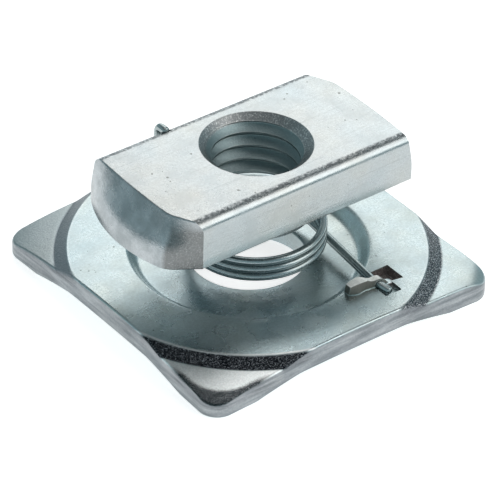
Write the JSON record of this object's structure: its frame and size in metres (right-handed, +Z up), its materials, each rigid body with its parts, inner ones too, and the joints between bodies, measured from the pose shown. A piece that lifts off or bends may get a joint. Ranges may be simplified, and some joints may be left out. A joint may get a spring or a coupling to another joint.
{
  "type": "strut channel spring nut with square washer",
  "caption": "Zinc-plated strut channel nut with round ends, held above a pressed square washer by a one-piece wire spring.",
  "frame": {"origin": "on the axis of the washer's hole, at the level the washer stands on", "axes": "+Z up from the washer to the nut, +X along the nut's long axis, -Y towards the spring's clip"},
  "size_m": [0.04, 0.04, 0.0185],
  "materials": {
    "zinc_washer": "bright zinc plating over pressed steel sheet, soft sheen with grainy steps",
    "zinc_wire": "bright zinc plating on drawn spring wire",
    "zinc_nut": "bright zinc plating on a sheared bar, fine lengthwise scratches"
  },
  "bodies": {
    "washer": {"square_washer": "zinc_washer"},
    "spring": {"retaining_spring": "zinc_wire"},
    "nut": {"channel_nut": "zinc_nut"}
  },
  "joints": [
    {"name": "nut_turn", "type": "hinge", "parent": "washer", "child": "spring", "pos_m": [0.00042, -0.00062, 0.012], "axis": [0, 0, 1], "range_deg": [-30, 30], "stiffness_Nm_per_rad": 0.06},
    {"name": "nut_lift", "type": "slide", "parent": "spring", "child": "nut", "axis": [0, 0, 1], "range_m": [0, 0.006], "stiffness_N_per_m": 850, "springref_m": 0.00027, "deforming": ["retaining_spring"]}
  ]
}
